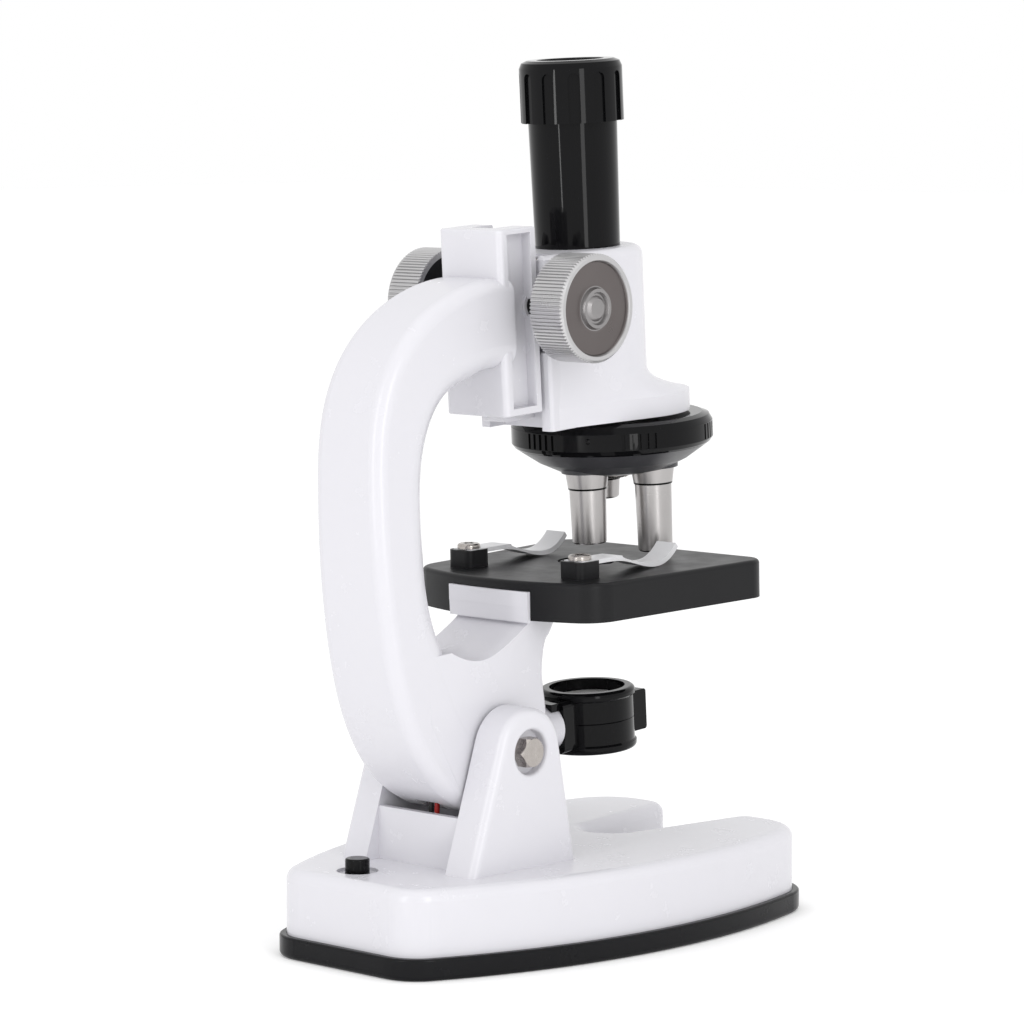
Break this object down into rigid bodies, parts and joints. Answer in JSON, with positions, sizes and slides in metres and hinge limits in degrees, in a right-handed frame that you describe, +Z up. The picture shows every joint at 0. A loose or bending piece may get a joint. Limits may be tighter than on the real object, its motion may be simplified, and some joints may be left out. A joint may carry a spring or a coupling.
{
  "type": "toy microscope",
  "caption": "Children's microscope with a tilting arm, rack focus, rotating three-lens nosepiece, clip stage and flip lamp.",
  "frame": {"origin": "on the table, under the middle of the base", "axes": "+Z up, -Y to the front, where the stage and nosepiece are; +X to the left seen from behind the arm"},
  "size_m": [0.0894, 0.141, 0.2217],
  "materials": {
    "white_shell": "glossy moulded white ABS",
    "white_clip": "glossy moulded white plastic",
    "black_gloss": "glossy moulded black plastic",
    "black_satin": "satin moulded black plastic",
    "silver_knob": "silver-plated plastic",
    "satin_metal": "satin turned metal",
    "nickel_steel": "nickel-plated steel",
    "gear_nylon": "natural nylon",
    "battery_can": "plain cell jacket",
    "lens_glass": "clear lens",
    "diffuser": "translucent diffuser",
    "circuit_board": "green circuit board",
    "mirror": "silvered",
    "lead_red": "red insulation",
    "lead_black": "black insulation"
  },
  "bodies": {
    "base": {"base_casing": "white_shell", "bottom_cover": "black_gloss", "base_screws": "nickel_steel", "battery_door": "black_gloss", "battery_door_screw": "nickel_steel", "batteries": "battery_can", "battery_contacts": "nickel_steel", "power_switch": "black_satin", "switch_holder": "black_satin", "button_spring": "nickel_steel", "pivot_bolt": "nickel_steel", "pivot_nut": "nickel_steel", "base_lead_red": "lead_red", "base_lead_black": "lead_black"},
    "button": {"power_button": "black_gloss"},
    "arm": {"arm_shell_right": "white_shell", "arm_shell_left": "white_shell", "arm_screws": "nickel_steel", "pivot_washers": "gear_nylon", "stage_table": "black_satin", "stage_screws": "nickel_steel", "clip_screws": "nickel_steel", "lamp_pivot_screw": "nickel_steel", "arm_lead_red": "lead_red", "arm_lead_black": "lead_black"},
    "focus_drive": {"focus_axle": "nickel_steel", "focus_pinion": "gear_nylon", "focus_knob_right": "silver_knob", "focus_knob_left": "silver_knob", "knob_core_right": "black_satin", "knob_core_left": "black_satin"},
    "head": {"focus_rail": "white_shell", "focus_rail_screws": "nickel_steel", "head_housing": "white_shell", "eyepiece_tube": "black_gloss", "turret_screw": "nickel_steel", "detent_ball": "nickel_steel", "detent_spring": "nickel_steel"},
    "eyepiece": {"draw_tube": "black_gloss", "eyepiece_cap": "black_gloss", "eye_lens": "lens_glass", "field_lens": "lens_glass", "field_stop": "black_satin", "eye_lens_retainer": "black_satin"},
    "nosepiece": {"turret_ring": "black_gloss", "turret_dome": "black_satin", "objective_low": "satin_metal", "objective_medium": "satin_metal", "objective_high": "satin_metal", "objective_collars": "satin_metal", "objective_lenses": "lens_glass"},
    "lamp": {"lamp_upper_shell": "black_gloss", "lamp_lower_shell": "black_gloss", "lamp_mirror": "mirror", "lamp_diffuser": "diffuser", "lamp_board": "circuit_board", "lamp_led": "diffuser"},
    "clip_right": {"stage_clip_right": "white_clip"},
    "clip_left": {"stage_clip_left": "white_clip"}
  },
  "joints": [
    {"name": "arm_tilt", "type": "hinge", "parent": "base", "child": "arm", "pos_m": [0, 0.02565, 0.0508], "axis": [1, 0, 0], "range_deg": [-6, 3.6]},
    {"name": "head_slide", "type": "slide", "parent": "arm", "child": "head", "axis": [0, 0.0637, 0.998], "range_m": [0, 0.009]},
    {"name": "focus_turn", "type": "hinge", "parent": "arm", "child": "focus_drive", "pos_m": [0, 0.00926, 0.15987], "axis": [1, 0, 0], "range_deg": [0, 108]},
    {"name": "nosepiece_turn", "type": "hinge", "parent": "head", "child": "nosepiece", "pos_m": [0, -0.02995, 0.12449], "axis": [0, 0.0637, 0.998], "continuous": true},
    {"name": "eyepiece_draw", "type": "slide", "parent": "head", "child": "eyepiece", "axis": [0, 0.0637, 0.998], "range_m": [0, 0.022]},
    {"name": "lamp_flip", "type": "hinge", "parent": "arm", "child": "lamp", "pos_m": [0, -0.00838, 0.05137], "axis": [0, 0.998, -0.0637], "range_deg": [0, 180]},
    {"name": "clip_lift_right", "type": "hinge", "parent": "arm", "child": "clip_right", "pos_m": [-0.0191, 0.00033, 0.09545], "axis": [-1, 0, 0], "range_deg": [0, 9], "stiffness_Nm_per_rad": 0.05},
    {"name": "clip_lift_left", "type": "hinge", "parent": "arm", "child": "clip_left", "pos_m": [0.0191, 0.00033, 0.09545], "axis": [-1, 0, 0], "range_deg": [0, 9], "stiffness_Nm_per_rad": 0.05},
    {"name": "button_press", "type": "slide", "parent": "base", "child": "button", "axis": [0, 0, -1], "range_m": [0, 0.0012], "stiffness_N_per_m": 300, "springref_m": -0.0005, "deforming": ["button_spring"]}
  ],
  "couplings": [
    {"joint": "focus_turn", "follows": "head_slide", "rad_per_m": 208.33}
  ]
}
